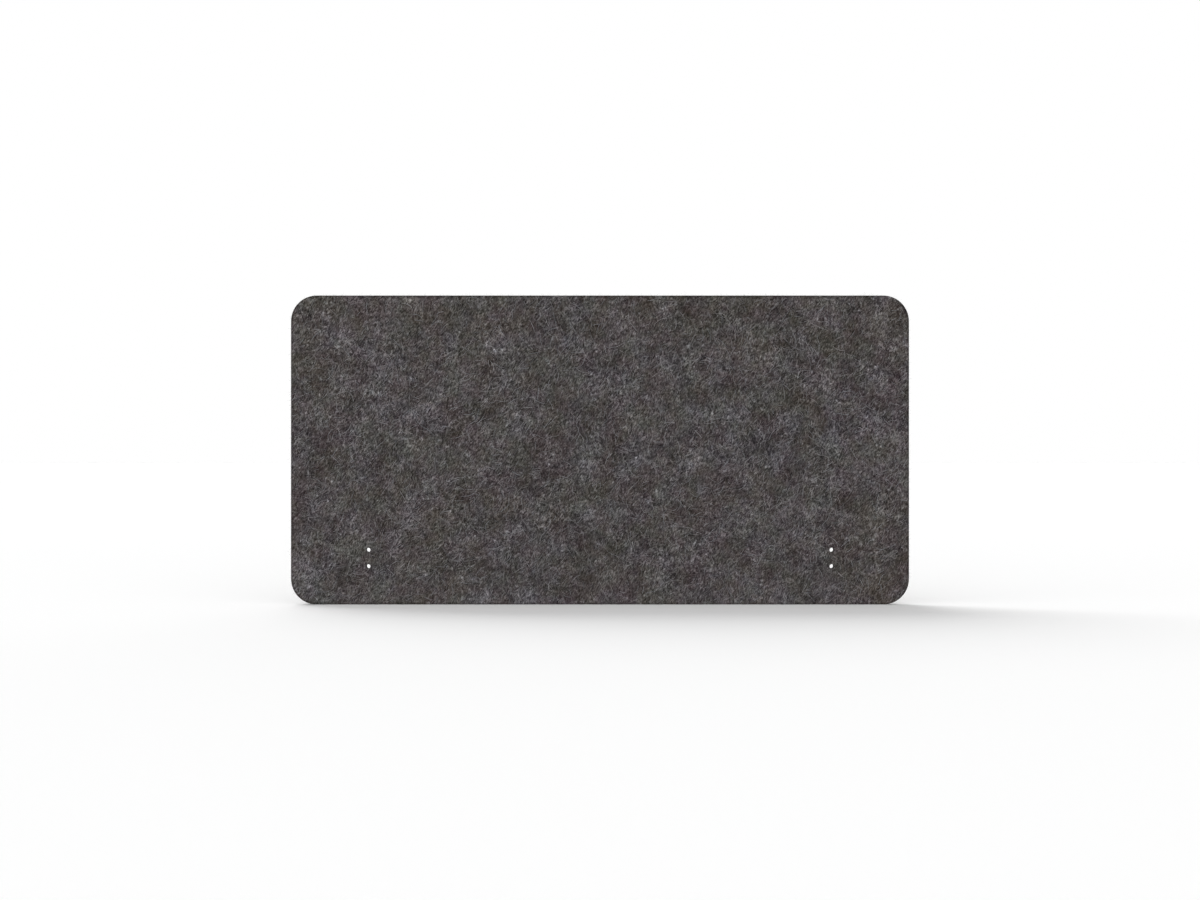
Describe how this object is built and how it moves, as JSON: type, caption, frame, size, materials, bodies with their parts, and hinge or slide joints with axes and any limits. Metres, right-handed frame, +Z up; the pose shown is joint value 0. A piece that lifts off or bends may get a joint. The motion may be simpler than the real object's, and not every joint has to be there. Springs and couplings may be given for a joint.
{
  "type": "acoustic divider screen",
  "caption": "Flat felt divider screen with round corners, laminated from two boards, drilled near its lower edge for clamp brackets.",
  "frame": {"origin": "centre of the bottom edge, midway between the front and rear faces", "axes": "+X along the screen to the right as seen from the front, +Y through it from front to rear, +Z up"},
  "size_m": [1.2, 0.0242, 0.6],
  "materials": {
    "felt": "dark grey marled needle felt, matte, with a fine mix of light and dark fibres",
    "web": "melted adhesive web, seen only as a hairline in the cut edge"
  },
  "bodies": {
    "root": {"front_felt_board": "felt", "hot_melt_web": "web", "rear_felt_board": "felt"}
  },
  "joints": []
}
